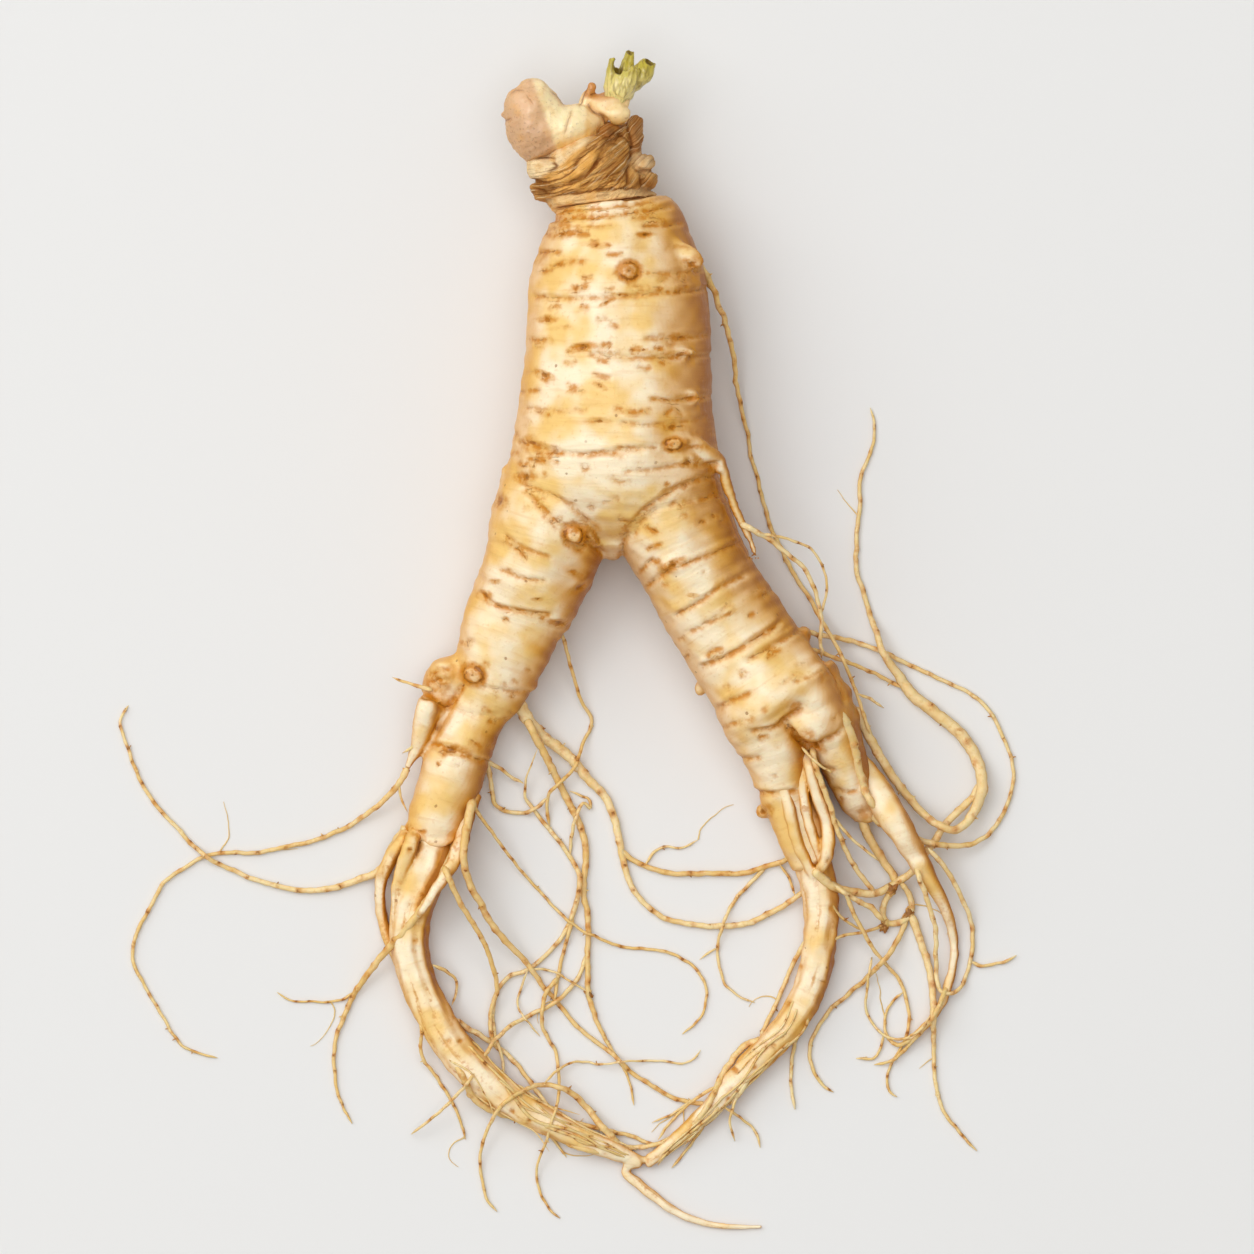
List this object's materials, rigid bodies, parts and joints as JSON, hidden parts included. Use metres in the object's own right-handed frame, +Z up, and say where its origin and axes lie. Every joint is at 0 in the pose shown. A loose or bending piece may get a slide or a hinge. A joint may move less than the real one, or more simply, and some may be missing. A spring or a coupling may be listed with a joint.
{
  "type": "ginseng root",
  "caption": "Fresh forked ginseng root lying flat: ringed body, two legs with long curling rootlets, wrinkled rhizome, winter bud and cut stem stub.",
  "frame": {"origin": "on the surface the root lies on, under the middle of its bounding box", "axes": "+X to the right and +Y towards the crown as seen from above, +Z up from the surface; the root lies on its back along Y"},
  "size_m": [0.171, 0.2238, 0.0316],
  "materials": {
    "root_skin": "fresh washed root skin, cream, satin with moist highlights, fine brown transverse marks",
    "rhizome_skin": "dry wrinkled tan-brown neck, matte",
    "bud_scale": "smooth pinkish cream bud scale, satin",
    "stem": "fresh yellow-green stem flesh, satin"
  },
  "bodies": {
    "root": {"root": "root_skin", "rhizome": "rhizome_skin", "winter_bud": "bud_scale", "stem_stub": "stem"}
  },
  "joints": []
}
